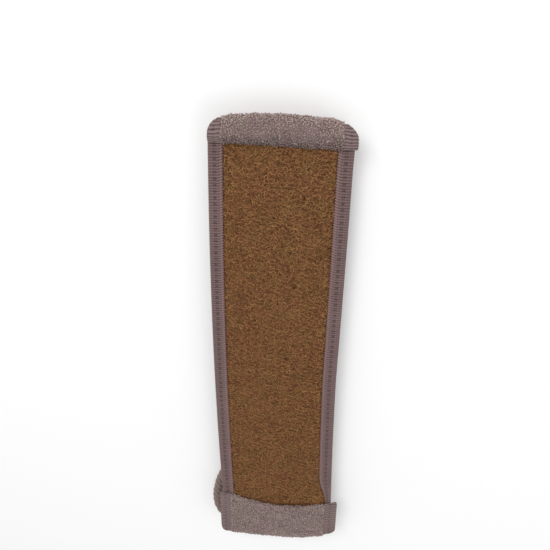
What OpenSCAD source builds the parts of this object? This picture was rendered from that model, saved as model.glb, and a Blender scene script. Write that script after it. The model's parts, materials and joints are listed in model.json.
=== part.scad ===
// Back scrubber strap: a loofah face and a terry back, bound along both sides with ribbed tape.
// Each end is turned over into a terry casing, and a cotton rope handle runs through its channel.
// The strap lies on its two end rolls, loofah up. X is its width, Y its length, Z is up.

/* [Pad] */
// Width of the pad over its side bindings
pad_w = 126; // [110:1:150]
// Length of the strap over its two end rolls
strap_l = 500; // [440:1:600]
// Thickness of the loofah under the bindings
loofah_t = 2.5; // [2:0.1:4]
// How far the loofah swells above the bindings in the middle
loofah_crown = 2.6; // [1:0.1:4]
// Thickness of the foam layer
foam_t = 4; // [3:0.1:6]
// Thickness of the terry back under the bindings
terry_t = 3.5; // [2.5:0.1:5]
// How far the terry back swells between the bindings
terry_belly = 1.2; // [0.5:0.1:1.3]
// Length of the slope at each end of the loofah's crown
crown_run = 24; // [12:1:40]

/* [Bindings] */
// Thickness of the binding tape
tape_t = 1.4; // [1.2:0.1:2]
// Width of tape showing on each face
tape_w = 13; // [10:0.5:18]
// Inner bend of the tape at the pad's edge
tape_bend = 1.6; // [0.6:0.1:2.4]

/* [Hems] */
// How much wider than the pad the end casings are, shared between their two sides
hem_over = 3; // [3:0.5:8]
// How far to the left of the casings' middle the pad is sewn in
pad_shift = 3; // [0:0.5:3]
// Depth of the end rolls along the strap
roll_d = 20; // [19.5:0.5:26]
// Distance of the pad's ends from the channels' axes
tuck = 8; // [7.8:0.1:9]
// Thickness of the terry layer turned over the front
hem_t = 3.7; // [3:0.1:5]
// Thickness of the terry layer behind the pad
hem_back_t = 3.4; // [2.5:0.1:4.5]
// Height at which the end rolls hold the pad's underside
pad_lift = 12; // [10.5:0.1:15]
// Depth of the flat that each roll rests on
rest_flat = 0.5; // [0.3:0.1:1]
// Front layer of the top casing, from the channel's axis to its free edge
top_reach = 12; // [11.5:0.5:40]
// Front layer of the bottom casing, from the channel's axis to its free edge
bottom_reach = 54; // [20:0.5:60]
// Back layer of both casings, from the channel's axis to its free edge
back_reach = 24; // [18:0.5:40]
// Width of the tape round each end of a casing
cuff_w = 13; // [9:0.5:18]
// How far that tape is drawn in below the terry
cuff_draw = 0.4; // [0.2:0.1:1]
// Rounding of the casings' outer corners, seen from above
corner_r = 18; // [6:0.5:20]

/* [Channels] */
// Diameter of the rope channel
channel_d = 9.4; // [9.2:0.1:11]
// Width of the closed part of the channel
channel_w = 88; // [70:1:90]
// Diameter of the channel's mouths
mouth_d = 14; // [12:0.5:18]
// Length of the lead-in at each mouth
mouth_l = 6; // [3:0.5:10]
// How far above the channel's axis the casing's ends are open for the rope to turn
way_rise = 6.5; // [6:0.1:8]

/* [Rope handles] */
// Diameter of the rope
rope_d = 8; // [6:0.1:8]
// Length of the thread wound round the rope's joined ends
whipping_l = 24; // [12:1:50]
// Thickness of that winding
whipping_t = 0.3; // [0.2:0.05:0.5]

/* [Stitches] */
// Distance from one stitch to the next
stitch_pitch = 6; // [4:0.5:12]
// Length of a stitch on the surface
stitch_l = 4.2; // [2:0.1:5]
// Diameter of the sewing thread
thread_d = 0.8; // [0.5:0.1:1]
// Distance of the hem's stitches from its free edge
hem_stitch_inset = 2.6; // [2.4:0.1:6]

/* [Hidden] */
$fn = 64;

// Gap between pieces that don't touch
clear = 0.3;
// Gap between the whipping and the rope inside it
whipping_gap = 0.05;
// Overshoot of cutting shapes
over = 1;

// Heights of the layers, from the pad's underside up
terry_z = pad_lift + tape_t;
foam_z = terry_z + terry_t;
loofah_z = foam_z + foam_t;
lip_z = loofah_z + loofah_t;
pad_top = lip_z + tape_t;
hem_top = pad_top + hem_t;

// The end rolls reach from the rest up to the layer turned over the pad, with the channel low in them
roll_r = roll_d / 2;
roll_z = roll_r - rest_flat;
shoulder_z = hem_top - roll_r;
roll_y = strap_l / 2 - roll_r;
pad_half_l = roll_y - tuck;

// Widths from the middle
pad_half = pad_w / 2;
lip_half = pad_half - tape_w;
layer_half = pad_half - tape_t - tape_bend;
swell_half = lip_half - clear;
hem_half = pad_half + hem_over;
hem_w = 2 * hem_half;
cuff_half = hem_half - cuff_w;
channel_half = channel_w / 2;
cuff_skin = cuff_draw + tape_t;

// Where the loofah and the back show between the casings
front_low = -roll_y + bottom_reach;
front_high = roll_y - top_reach;
back_half = roll_y - back_reach;
stitch_x = pad_half - tape_w / 2;
groove_w = thread_d * 1.5;
rope_r = rope_d / 2;
rope_sides = 10;
rope_gap = 0.3;

// Route of the bottom rope from its channel's axis: X, distance towards the pad's middle, height.
// Its left leg bows out past the pad's edge, and the loop lies flat behind the pad.
bottom_route = [
    [-rope_gap, 0, 0], [-42, 0, 0], [-52, 0.2, -0.5], [-61, 1.6, -1.4], [-68.3, 6, -2.6],
    [-72.8, 13.5, -3.7], [-74.6, 23, -4.5], [-74.4, 34, -5], [-72.8, 45, -5.2], [-70, 56, -5.3],
    [-66, 67, -5.3], [-61, 77.5, -5.3], [-55.5, 88, -5.3], [-50.5, 99, -5.3], [-46, 110.5, -5.3],
    [-41.5, 122, -5.3], [-36, 133.5, -5.3], [-28.5, 143.5, -5.3], [-18.5, 151, -5.3], [-6.5, 155, -5.3],
    [6, 154.6, -5.3], [17.5, 149, -5.3], [26, 139.5, -5.3], [31.5, 127.5, -5.3], [35, 114.5, -5.3],
    [38.2, 101.5, -5.3], [42.2, 88.5, -5.3], [46.2, 76, -5.3], [50, 63, -5.3], [52.8, 50, -5.3],
    [54, 37, -5.3], [54.5, 27, -5.1], [54.5, 18.5, -4.6], [53.9, 13.7, -4], [52, 9.25, -3.1],
    [49.1, 5.4, -2], [45.25, 2.5, -0.9], [40.8, 0.6, -0.15], [36, 0, 0], [rope_gap, 0, 0]];

// Right half of the top rope's route, the same on both sides
top_leg = [
    [rope_gap, 0, 0], [36, 0, 0], [40.8, 0.6, -0.15], [45.25, 2.5, -0.9], [49.1, 5.4, -2],
    [52, 9.25, -3.1], [53.9, 13.7, -4], [54.5, 18.5, -4.6], [54.5, 27, -5.1], [54, 37, -5.3],
    [52.8, 50, -5.3], [50, 63, -5.3], [46.2, 76, -5.3], [42.2, 88.5, -5.3], [38.2, 101.5, -5.3],
    [35, 114.5, -5.3], [31.5, 127.5, -5.3], [26, 139.5, -5.3], [17.5, 149, -5.3], [5.8, 154.4, -5.3]];
top_route = concat([for (p = top_leg) [-p.x, p.y, p.z]], [for (i = [len(top_leg) - 1:-1:0]) top_leg[i]]);

function unit(v) = v / norm(v);
function heading(path, i) = unit(path[min(i + 1, len(path) - 1)] - path[max(i - 1, 0)]);
function side_of(t) = unit(cross(t, [0, 0, 1]));

// Points of one ring of the rope, square to the route at point i
function rope_ring(path, i) = let(t = heading(path, i), s = side_of(t), u = cross(s, t), turn = 360 / rope_sides)
    [for (k = [0:rope_sides - 1]) path[i] + rope_r * (cos(k * turn) * s + sin(k * turn) * u)];

// Places of a row of stitches, centred between two ends
function stitch_places(low, high) = let(n = floor((high - low - stitch_l) / stitch_pitch))
    [for (k = [0:n]) (low + high) / 2 + (k - n / 2) * stitch_pitch];

// Smooth rise from 0 to 1
function ease(t) = t * t * (3 - 2 * t);

// A section in width and height, drawn out along the strap
module along_y(l) {
    rotate([90, 0, 0])
        linear_extrude(l, center = true)
            children();
}

// A section in length and height, drawn out across the strap
module along_x(w) {
    rotate([90, 0, 90])
        linear_extrude(w, center = true)
            children();
}

// A piece of the pad, drawn about its own middle
module at_pad() {
    translate([-pad_shift, 0, 0])
        children();
}

// A piece of a hem, drawn with its channel's axis over the origin and the pad towards +Y
module at_top() {
    translate([0, roll_y, 0])
        mirror([0, 1, 0])
            children();
}
module at_bottom() {
    translate([0, -roll_y, 0])
        children();
}

// Rounded bar between two heights, with a round edge at its far end
module layer_section(reach, low, high) {
    edge = (high - low) / 2;
    translate([0, low])
        square([reach - edge, high - low]);
    translate([reach - edge, low + edge])
        circle(edge);
}

// Section of a layer: thin under the tapes, then up a step to a parabola as wide as the space between them
module swelled_section(edge_t, step, rise) {
    steps = 24;
    foot = step > 0 ? [swell_half] : [];
    bow = [for (k = [0:steps]) let(t = 2 * k / steps - 1) [swell_half * t, edge_t + step + rise * (1 - t * t)]];
    polygon(concat(
        [[-layer_half, 0], [-layer_half, edge_t]],
        [for (x = foot) [-x, edge_t]],
        bow,
        [for (x = foot) [x, edge_t]],
        [[layer_half, edge_t], [layer_half, 0]]));
}

// Outline of the loofah along the strap: flat under the hems, with eased slopes to its crown
module crown_outline() {
    steps = 8;
    rise = loofah_crown + over;
    low = front_low + clear;
    high = front_high - clear;
    polygon(concat(
        [[-pad_half_l, loofah_z], [-pad_half_l, pad_top]],
        [for (k = [0:steps]) [low + crown_run * k / steps, pad_top + rise * ease(k / steps)]],
        [for (k = [0:steps]) [high - crown_run * (1 - k / steps), pad_top + rise * ease(1 - k / steps)]],
        [[pad_half_l, pad_top], [pad_half_l, loofah_z]]));
}

module loofah_panel() {
    at_pad()
        color("#8f6a40")
            intersection() {
                along_y(2 * pad_half_l)
                    translate([0, loofah_z])
                        swelled_section(loofah_t, tape_t, loofah_crown);
                along_x(pad_w)
                    crown_outline();
            }
}

module foam_layer() {
    edge = foam_t / 2;
    at_pad()
        color("#d9cfae")
            along_y(2 * pad_half_l) {
                translate([-layer_half + edge, foam_z])
                    square([2 * (layer_half - edge), foam_t]);
                for (s = [-1, 1])
                    translate([s * (layer_half - edge), foam_z + edge])
                        circle(edge);
            }
}

module terry_back() {
    at_pad()
        color("#9a8a86")
            along_y(2 * pad_half_l)
                translate([0, foam_z])
                    mirror([0, 1])
                        swelled_section(terry_t, 0, terry_belly);
}

// Quarter-round corner of the folded tape
module tape_corner() {
    intersection() {
        difference() {
            circle(tape_bend + tape_t);
            circle(tape_bend);
        }
        square(tape_bend + tape_t);
    }
}

// Tape folded round the pad's edge, with a sunk line on both faces for its stitches
module binding_section() {
    bend = tape_bend + tape_t;
    difference() {
        union() {
            translate([lip_half, lip_z])
                square([tape_w - bend, tape_t]);
            translate([lip_half, pad_lift])
                square([tape_w - bend, tape_t]);
            translate([pad_half - tape_t, pad_lift + bend])
                square([tape_t, pad_top - pad_lift - 2 * bend]);
            translate([pad_half - bend, pad_top - bend])
                tape_corner();
            translate([pad_half - bend, pad_lift + bend])
                mirror([0, 1])
                    tape_corner();
        }
        for (z = [pad_top, pad_lift])
            translate([stitch_x - groove_w / 2, z - thread_d])
                square([groove_w, 2 * thread_d]);
    }
}
module side_binding() {
    color("#877373")
        along_y(2 * pad_half_l)
            binding_section();
}
module right_binding() {
    at_pad()
        side_binding();
}
module left_binding() {
    at_pad()
        mirror([1, 0, 0])
            side_binding();
}

// Thread lying along Y at each place of a row
module stitch_row(low, high) {
    for (y = stitch_places(low, high))
        translate([0, y, 0])
            rotate([90, 0, 0])
                cylinder(h = stitch_l, d = thread_d, center = true, $fn = 16);
}
module side_stitches() {
    color("#5c4c4c") {
        translate([stitch_x, 0, pad_top - thread_d / 2])
            stitch_row(front_low, front_high);
        translate([stitch_x, 0, pad_lift + thread_d / 2])
            stitch_row(-back_half, back_half);
    }
}
module right_binding_stitches() {
    at_pad()
        side_stitches();
}
module left_binding_stitches() {
    at_pad()
        mirror([1, 0, 0])
            side_stitches();
}

// Section of an end roll, less a skin
module roll_section(skin) {
    r = roll_r - skin;
    for (z = [roll_z, shoulder_z])
        translate([0, z])
            circle(r);
    translate([-r, roll_z])
        square([2 * r, shoulder_z - roll_z]);
}

// Section of a casing: its roll and the layer turned over the front, less a skin
module hem_section(reach, skin) {
    roll_section(skin);
    layer_section(reach - skin, pad_top, hem_top - skin);
}

// Plan of a casing with its two outer corners rounded, less an inset
module hem_plan(reach, inset) {
    long = max(reach, back_reach) + over;
    half = hem_half - corner_r;
    linear_extrude(hem_top + over) {
        translate([-half, -roll_r - over])
            square([2 * half, roll_r + long + over]);
        translate([inset - hem_half, corner_r - roll_r])
            square([2 * (hem_half - inset), long + roll_r - corner_r]);
        for (s = [-1, 1])
            translate([s * half, corner_r - roll_r])
                circle(corner_r - inset);
    }
}

// True round channel on the hinge's axis, with lead-in mouths
module rope_channel() {
    translate([0, 0, roll_z])
        rotate([0, 90, 0]) {
            cylinder(h = channel_w + over, d = channel_d, center = true);
            for (s = [0, 180])
                rotate([s, 0, 0])
                    translate([0, 0, channel_half - mouth_l])
                        cylinder(h = mouth_l, d1 = channel_d, d2 = mouth_d);
        }
}

// Room under the two ends of a casing, where the rope turns out of its channel
module rope_ways() {
    way_l = hem_half - channel_half + over;
    way_h = roll_z + way_rise;
    for (s = [-1, 1])
        translate([s * (channel_half + way_l / 2), 0, 0]) {
            translate([0, hem_half / 2 - roll_r - over, (way_h - over) / 2])
                cube([way_l, hem_half, way_h + over], center = true);
            along_x(way_l)
                roll_section(hem_t);
        }
}

// Room in a roll for the pad's end
module pad_slot() {
    translate([-pad_shift - pad_half - clear, tuck - clear, pad_lift])
        cube([pad_w + 2 * clear, roll_r, pad_top - pad_lift]);
}

// Places of a hem's stitch rows: along the free edge, and beside the roll where the hem is deep
function hem_rows(reach) = let(edge = reach - hem_stitch_inset, roll = roll_r + hem_stitch_inset)
    edge > roll + stitch_pitch ? [roll, edge] : [edge];

module casing(reach) {
    color("#8c7d78")
        difference() {
            intersection() {
                union() {
                    along_x(2 * cuff_half)
                        hem_section(reach, 0);
                    along_x(hem_w)
                        hem_section(reach, cuff_skin);
                    along_x(channel_w)
                        layer_section(back_reach, pad_lift - hem_back_t, pad_lift);
                }
                hem_plan(reach, tape_t);
            }
            rope_channel();
            rope_ways();
            pad_slot();
            for (y = hem_rows(reach))
                translate([0, y, hem_top])
                    cube([2 * cuff_half - stitch_pitch, groove_w, 2 * thread_d], center = true);
            translate([0, back_reach - hem_stitch_inset, pad_lift - hem_back_t])
                cube([channel_w - stitch_pitch, groove_w, 2 * thread_d], center = true);
        }
}
module top_casing() {
    at_top()
        casing(top_reach);
}
module bottom_casing() {
    at_bottom()
        casing(bottom_reach);
}

// Tape over one end of a casing's front layer, on the side that s gives
module cuff(reach, s) {
    color("#877373")
        difference() {
            intersection() {
                translate([s * (hem_half - cuff_w / 2), 0, 0])
                    along_x(cuff_w)
                        hem_section(reach, cuff_draw);
                hem_plan(reach, 0);
            }
            intersection() {
                along_x(hem_w)
                    hem_section(reach, cuff_skin);
                hem_plan(reach, tape_t);
            }
            rope_ways();
            pad_slot();
        }
}
module top_left_cuff() {
    at_top()
        cuff(top_reach, -1);
}
module top_right_cuff() {
    at_top()
        cuff(top_reach, 1);
}
module bottom_left_cuff() {
    at_bottom()
        cuff(bottom_reach, -1);
}
module bottom_right_cuff() {
    at_bottom()
        cuff(bottom_reach, 1);
}

// Rows of thread across a hem, on its front and its back
module hem_stitches(reach) {
    color("#5c4c4c") {
        for (y = hem_rows(reach))
            translate([0, y, hem_top - thread_d / 2])
                rotate([0, 0, 90])
                    stitch_row(stitch_pitch - cuff_half, cuff_half - stitch_pitch);
        translate([0, back_reach - hem_stitch_inset, pad_lift - hem_back_t + thread_d / 2])
            rotate([0, 0, 90])
                stitch_row(stitch_pitch - channel_half, channel_half - stitch_pitch);
    }
}
module top_hem_stitches() {
    at_top()
        hem_stitches(top_reach);
}
module bottom_hem_stitches() {
    at_bottom()
        hem_stitches(bottom_reach);
}

// One tube swept along a route, from its first point to its last
module rope(route) {
    rings = len(route);
    last = (rings - 1) * rope_sides;
    sides = [for (i = [0:rings - 2], k = [0:rope_sides - 1])
        let(a = i * rope_sides + k, b = i * rope_sides + (k + 1) % rope_sides)
            each [[a, b, b + rope_sides], [a, b + rope_sides, a + rope_sides]]];
    ends = [for (k = [1:rope_sides - 2]) each [[0, k + 1, k], [last, last + k, last + k + 1]]];
    color("#a3917f")
        translate([0, 0, roll_z])
            polyhedron([for (i = [0:rings - 1]) each rope_ring(route, i)], concat(sides, ends));
}
module top_rope() {
    translate([0, roll_y, 0])
        rope([for (p = top_route) [p.x, -p.y, p.z]]);
}
module bottom_rope() {
    at_bottom()
        rope(bottom_route);
}

// Thread wound round the rope's two ends where they meet inside the channel
module whipping() {
    color("#c9bda8")
        translate([0, 0, roll_z])
            rotate([0, 90, 0])
                difference() {
                    cylinder(h = whipping_l, r = rope_r + whipping_gap + whipping_t, center = true);
                    cylinder(h = whipping_l + over, r = rope_r + whipping_gap, center = true);
                }
}
module top_rope_whipping() {
    at_top()
        whipping();
}
module bottom_rope_whipping() {
    at_bottom()
        whipping();
}

loofah_panel();
foam_layer();
terry_back();
left_binding();
right_binding();
top_casing();
bottom_casing();
top_left_cuff();
top_right_cuff();
bottom_left_cuff();
bottom_right_cuff();
left_binding_stitches();
right_binding_stitches();
top_hem_stitches();
bottom_hem_stitches();
top_rope();
bottom_rope();
top_rope_whipping();
bottom_rope_whipping();
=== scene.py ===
"""Dresses the back scrubber strap: loofah face, terry back and casings, ribbed tape, stitches and ropes."""
import json
import math

import bpy
import numpy as np
from bpy.props import FloatProperty, FloatVectorProperty, IntProperty, PointerProperty
from mathutils import Matrix, Vector


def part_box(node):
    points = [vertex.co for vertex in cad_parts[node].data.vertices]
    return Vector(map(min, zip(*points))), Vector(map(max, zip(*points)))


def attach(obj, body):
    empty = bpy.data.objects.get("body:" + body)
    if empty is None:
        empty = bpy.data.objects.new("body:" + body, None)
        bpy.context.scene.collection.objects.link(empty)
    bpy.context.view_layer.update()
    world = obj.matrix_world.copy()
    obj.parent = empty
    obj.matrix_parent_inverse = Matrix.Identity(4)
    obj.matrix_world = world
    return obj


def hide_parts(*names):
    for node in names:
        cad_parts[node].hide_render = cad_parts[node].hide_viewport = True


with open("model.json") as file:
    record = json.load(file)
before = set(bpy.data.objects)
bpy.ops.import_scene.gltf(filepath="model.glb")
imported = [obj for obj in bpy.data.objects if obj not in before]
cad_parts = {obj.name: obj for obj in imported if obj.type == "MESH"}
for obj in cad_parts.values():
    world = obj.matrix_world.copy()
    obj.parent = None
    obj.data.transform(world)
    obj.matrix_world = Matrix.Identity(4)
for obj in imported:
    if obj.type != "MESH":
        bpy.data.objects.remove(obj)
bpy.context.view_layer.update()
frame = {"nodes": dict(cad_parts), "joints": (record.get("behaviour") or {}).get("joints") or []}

bl_info = {
    "name": "Back scrubber dresser",
    "version": (1, 0, 0),
    "blender": (4, 5, 0),
    "location": "View3D > Sidebar > Scrubber",
    "description": "Builds the soft pieces of a loofah back scrubber over its packed solids",
    "category": "Object",
}

MM = 0.001
SEED = 11
UP = np.array([0.0, 0.0, 1.0])
ENDS = {"bottom": -1, "top": 1}
SIDES = {"left": -1, "right": 1}

# Places that the solids give, in metres.
# The pad is sewn in off the hems' middle, so its own widths are from its middle, and its pieces are moved there.
PAD_PLACE = np.array([(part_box("left_binding")[0][0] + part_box("right_binding")[1][0]) / 2, 0.0, 0.0])
TAPE_LOW, TAPE_HIGH, LOOFAH_LOW, LOOFAH_HIGH, BACK_LOW, BACK_HIGH, FOAM_LOW, FOAM_HIGH = (
    np.array(corner) - PAD_PLACE
    for node in ("right_binding", "loofah_panel", "terry_back", "foam_layer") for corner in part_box(node))
LIP_X, PAD_X = TAPE_LOW[0], TAPE_HIGH[0]
PAD_END = TAPE_HIGH[1]
PAD_LOW, PAD_TOP = TAPE_LOW[2], TAPE_HIGH[2]
SEAM_X = (LIP_X + PAD_X) / 2
(CUFF_IN, _, _), (CUFF_OUT, _, CUFF_TOP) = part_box("bottom_right_cuff")
CORNER_R = 18 * MM
HEM_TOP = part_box("top_casing")[1][2]
CHANNEL = {joint["child"]: np.array(joint["pos_m"]) for joint in frame["joints"]}
ROLL_Y, ROLL_Z = CHANNEL["top_handle"][1:]
ROLL_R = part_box("top_casing")[1][1] - ROLL_Y
FRONT_EDGE = {
    "top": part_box("top_right_cuff")[0][1],
    "bottom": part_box("bottom_right_cuff")[1][1],
}
BACK_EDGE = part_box("top_casing")[0][1]

# Rows of stitches across the hems, inward from their channels' axes: on the front layers, and on the back ones.
HEM_ROWS = {"top": (0.0094,), "bottom": (0.0126, 0.0514)}
BACK_ROW = 0.0214
CHANNEL_X = 0.044

# The ropes' routes from their channels' axes: across, towards the pad's middle, and up.
# They start and end a little way inside the channel, and its closed middle has a piece of its own.
INSIDE = 0.030
RIGHT_LEG = [
    (0.030, 0.0, 0.0), (0.036, 0.0, 0.0), (0.0408, 0.0006, -0.00015), (0.04525, 0.0025, -0.0009),
    (0.0491, 0.0054, -0.002), (0.052, 0.00925, -0.0031), (0.0539, 0.0137, -0.004),
    (0.0545, 0.0185, -0.0046), (0.0545, 0.027, -0.0051), (0.054, 0.037, -0.0053),
    (0.0528, 0.050, -0.0053), (0.050, 0.063, -0.0053), (0.0462, 0.076, -0.0053),
    (0.0422, 0.0885, -0.0053), (0.0382, 0.1015, -0.0053), (0.035, 0.1145, -0.0053),
    (0.0315, 0.1275, -0.0053), (0.026, 0.1395, -0.0053), (0.0175, 0.149, -0.0053),
]
LEFT_BOW = [
    (-0.030, 0.0, 0.0), (-0.042, 0.0, 0.0), (-0.052, 0.0002, -0.0005), (-0.0608, 0.0016, -0.0014),
    (-0.0678, 0.006, -0.0026), (-0.0721, 0.0135, -0.0037), (-0.0738, 0.023, -0.0045),
    (-0.0736, 0.034, -0.005), (-0.0720, 0.045, -0.0052), (-0.0693, 0.056, -0.0053),
    (-0.0655, 0.067, -0.0053), (-0.061, 0.0775, -0.0053), (-0.0555, 0.088, -0.0053),
    (-0.0505, 0.099, -0.0053), (-0.046, 0.1105, -0.0053), (-0.0415, 0.122, -0.0053),
    (-0.036, 0.1335, -0.0053), (-0.0285, 0.1435, -0.0053), (-0.0185, 0.151, -0.0053),
    (-0.0065, 0.155, -0.0053), (0.006, 0.1546, -0.0053),
]
TOP_BIGHT = [(-0.0058, 0.1544, -0.0053), (0.0058, 0.1544, -0.0053)]
ROUTES = {
    "bottom": LEFT_BOW + RIGHT_LEG[::-1],
    "top": [(-x, y, z) for x, y, z in RIGHT_LEG] + TOP_BIGHT + RIGHT_LEG[::-1],
}
# How far the rope's strands reach, as a share of its radius: in the loop, and where the whipping draws them in.
ROPE_REACH, CORE_REACH = 1.125, 0.95
# A strand's offset from the rope's middle and its own radius, and the height of its yarns, as shares of that reach.
STRAND_OFF, STRAND_R, YARN_HEIGHT = 0.44, 0.56, 0.042
YARN_LAY = 0.0052
# How much wider and lower the loose rope lies, how far from its ends that starts, and how far it eases in.
ROPE_WIDER, ROPE_LOWER, LOOSE_FROM, LOOSE_RUN = 0.26, 0.15, 0.035, 0.030
ROPE_STEP, ROPE_SIDES = 0.0007, 72
WHIPPING_WIDE, WHIPPING_THICK = 0.6 * MM, 0.3 * MM

# How the pad lies: its curve, how far that is set back to centre it, and the right tape's draw aside and swell.
PAD_CURVE, PAD_SET_BACK, TAPE_ASIDE, TAPE_SWELL = 2.7 * MM, 1.5 * MM, 7.5 * MM, 1.2 * MM
# Where along the strap: the curve's foot, run and low end, the draw's start and run, and the swell's middle and half.
CURVE_FOOT, CURVE_RUN, CURVE_LOW = 0.04, 0.187, -0.195
ASIDE_FROM, ASIDE_RUN = -0.146, 0.038
SWELL_AT, SWELL_HALF = 0.10, 0.11
# How the hems lie: the shallow one's bow, slack and bulge, and the deep one's bow, fall to the sides, rise and flare.
TOP_BOW, TOP_SLACK, TOP_BULGE = 6.6 * MM, 2.2 * MM, 5.6 * MM
DEEP_BOW, DEEP_FALL, DEEP_RISE, DEEP_FLARE = 5.7 * MM, 9.2 * MM, 2.4 * MM, 3.4 * MM
# The loofah: how deep its mat lies under the crown, the height and half breadth of its net, and its fibres' waves,
# dips at the ends and stray.
MAT_DEPTH, NET_HEIGHT, NET_HALF = 1.2 * MM, 0.95 * MM, 0.3
FIBRE_WAVE, FIBRE_DIP, FIBRE_STRAY = 0.3 * MM, 1.1 * MM, 1.4

# Fine marks: mottling of fibre and rope, columns in the tape, and half the breadth of its stitch holes and sewing line.
MOTTLE_WAVE = 0.0024
COLUMN_PITCH = 0.0024
HOLE_HALF = 0.00075
SEAM_HALF = 0.0011
# How deep the sewing line is drawn into the tape, and its breadth and depth in the casings.
SEAM_DEPTH = 0.4 * MM
HEM_SEAM_HALF, HEM_SEAM_DEPTH = 0.0022, 0.7 * MM
# Two shares that never fall in step, for an even spread.
EVEN_STEPS = [0.7548777, 0.5698403]
# Sides of the thin tubes: fibres and loops, and sewing thread.
FIBRE_SIDES, THREAD_SIDES = 3, 5
# Tint of the terry's ground, and of the feet of its loops, both low as painted shade between the loops, and how deep a
# finish's grain is and how much it shades.
GROUND_TINT, LOOP_TINT = 0.2, 0.30
GRAIN_DEPTH, GRAIN_SHADE = 0.0006, 0.3

# The casings' cloth: size of its cells, radius of the opened channel, how far it is drawn in, and how it is blown up.
CELL = 0.0015
BORE_R = 4.9 * MM
DRAW_IN = 0.75 * MM
PRESSURE, STIFFNESS, FRAMES = 4, 8, 20
MOST_SWELL = 0.9 * MM

# The camera's place, aim, roll and lens, the lights' places, widths and powers, and half the floor's side.
EYE, AIM = (0.0455, 0.3641, 0.5229), (-0.0049, 0.1065, 0.025)
ROLL, LENS = math.radians(0.65), 39.23
LIGHTS = {"key": ((-0.45, 1.15, 1.35), 0.8, 13.4), "fill": ((0.9, -0.5, 1.3), 1.2, 4.5)}
FLOOR_HALF = 3.0
# Where the paper is seen it glows by this much. The surround lights by its own share, and adds more where it is seen.
PAPER_GLOW, SKY_LIGHT, SKY_GLOW = 0.13, 0.6, 0.4


def length_property(name, description, default):
    return FloatProperty(name=name, description=description, default=default, unit="LENGTH")


class ScrubberSizes(bpy.types.PropertyGroup):
    """Sizes of the fabric, fibre and cord details."""

    net_wave: length_property("Net wave", "Wavelength of the loofah's net", 0.0036)
    fibre_count: IntProperty(name="Loofah fibres", description="Loose fibres in one layer on the loofah", default=6000)
    fibre_radius: length_property("Fibre radius", "Half the thickness of a loofah fibre", 0.00029)
    fibre_length: length_property("Fibre length", "Usual length of a loofah fibre", 0.0054)
    rib_pitch: length_property("Rib pitch", "Distance between the tape's ribs", 0.00255)
    rib_height: length_property("Rib height", "Height of the tape's ribs", 0.00075)
    tape_thickness: length_property("Tape thickness", "Thickness of the binding tape", 0.0014)
    stitch_pitch: length_property("Stitch pitch", "Distance between stitches", 0.006)
    stitch_length: length_property("Stitch length", "Length of a stitch on the surface", 0.0038)
    thread_radius: length_property("Thread radius", "Half the thickness of the sewing thread", 0.00042)
    loop_height: length_property("Pile height", "Height of the terry's loops", 0.0016)
    loop_radius: length_property("Pile yarn radius", "Half the thickness of the terry's yarn", 0.00036)
    loop_spacing: length_property("Pile spacing", "Distance between the terry's loops", 0.0016)
    rope_diameter: length_property("Rope diameter", "Thickness of the rope handles", 0.008)
    rope_lay: length_property("Rope lay", "Length of one full turn of the rope's strands", 0.021)


def colour_property(name, description, rgb):
    return FloatVectorProperty(
        name=name, description=description, subtype="COLOR", size=3, min=0.0, max=1.0, default=rgb)


class ScrubberColours(bpy.types.PropertyGroup):
    """Colours of the materials, as linear values."""

    # The dark colours are laid in the pits, grooves, holes and between the loops as painted shade, and the light ones
    # on the tips, crowns and tops as painted light.
    loofah_light: colour_property("Loofah light", "Tips of the loofah's fibres", (0.590, 0.295, 0.118))
    loofah_dark: colour_property("Loofah dark", "Pits between the fibres", (0.070, 0.025, 0.007))
    terry_light: colour_property("Terry light", "Tops of the terry's loops", (0.600, 0.458, 0.425))
    terry_dark: colour_property("Terry dark", "Ground between the loops", (0.165, 0.112, 0.102))
    tape_light: colour_property("Tape light", "Ribs of the binding tape", (0.275, 0.173, 0.163))
    tape_dark: colour_property("Tape dark", "Lines between the ribs", (0.070, 0.047, 0.049))
    thread: colour_property("Thread", "Sewing thread", (0.150, 0.104, 0.105))
    rope_light: colour_property("Rope light", "Yarns of the rope", (0.305, 0.228, 0.196))
    rope_dark: colour_property("Rope dark", "Lines between the rope's strands", (0.080, 0.052, 0.046))
    foam: colour_property("Foam", "Foam between loofah and terry", (0.62, 0.55, 0.38))
    floor: colour_property("Floor", "Floor that the strap lies on", (0.90, 0.90, 0.90))


def unit(vectors):
    """Vectors scaled to length one."""
    return vectors / np.maximum(np.linalg.norm(vectors, axis=-1, keepdims=True), 1e-12)


def spots(x, y, z):
    """Points from three coordinates that are spread to one shape."""
    return np.stack(np.broadcast_arrays(x, y, z), axis=-1)


def ease(t):
    """Smooth rise from 0 to 1, three t squared less two t cubed."""
    t = np.clip(t, 0.0, 1.0)
    return t * t * (3 - 2 * t)


def ripple(x, y, wavelength, seed, waves=28):
    """Even noise from about -1 to 1: a sum of plane waves of like length with random headings and phases."""
    rng = np.random.default_rng(seed)
    heading = rng.uniform(0, 2 * np.pi, waves)
    phase = rng.uniform(0, 2 * np.pi, waves)
    number = 2 * np.pi / (wavelength * rng.uniform(0.7, 1.4, waves))
    total = np.zeros(np.broadcast(x, y).shape)
    for h, p, k in zip(heading, phase, number):
        total += np.sin(k * (x * math.cos(h) + y * math.sin(h)) + p)
    return total * math.sqrt(2 / waves) / 2


def smooth_path(points, per_span):
    """Catmull-Rom curve through the points: a cubic in each span, with slopes from the neighbours on both sides."""
    p = np.asarray(points, float)
    p = np.concatenate([2 * p[:1] - p[1:2], p, 2 * p[-1:] - p[-2:-1]])
    t = np.linspace(0, 1, per_span, endpoint=False)[None, :, None]
    a, b, c, d = (p[k:len(p) - 3 + k, None, :] for k in range(4))
    curve = 0.5 * (2 * b + (c - a) * t + (2 * a - 5 * b + 4 * c - d) * t ** 2 + (3 * b - a - 3 * c + d) * t ** 3)
    return np.concatenate([curve.reshape(-1, 3), p[-2:-1]])


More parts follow.
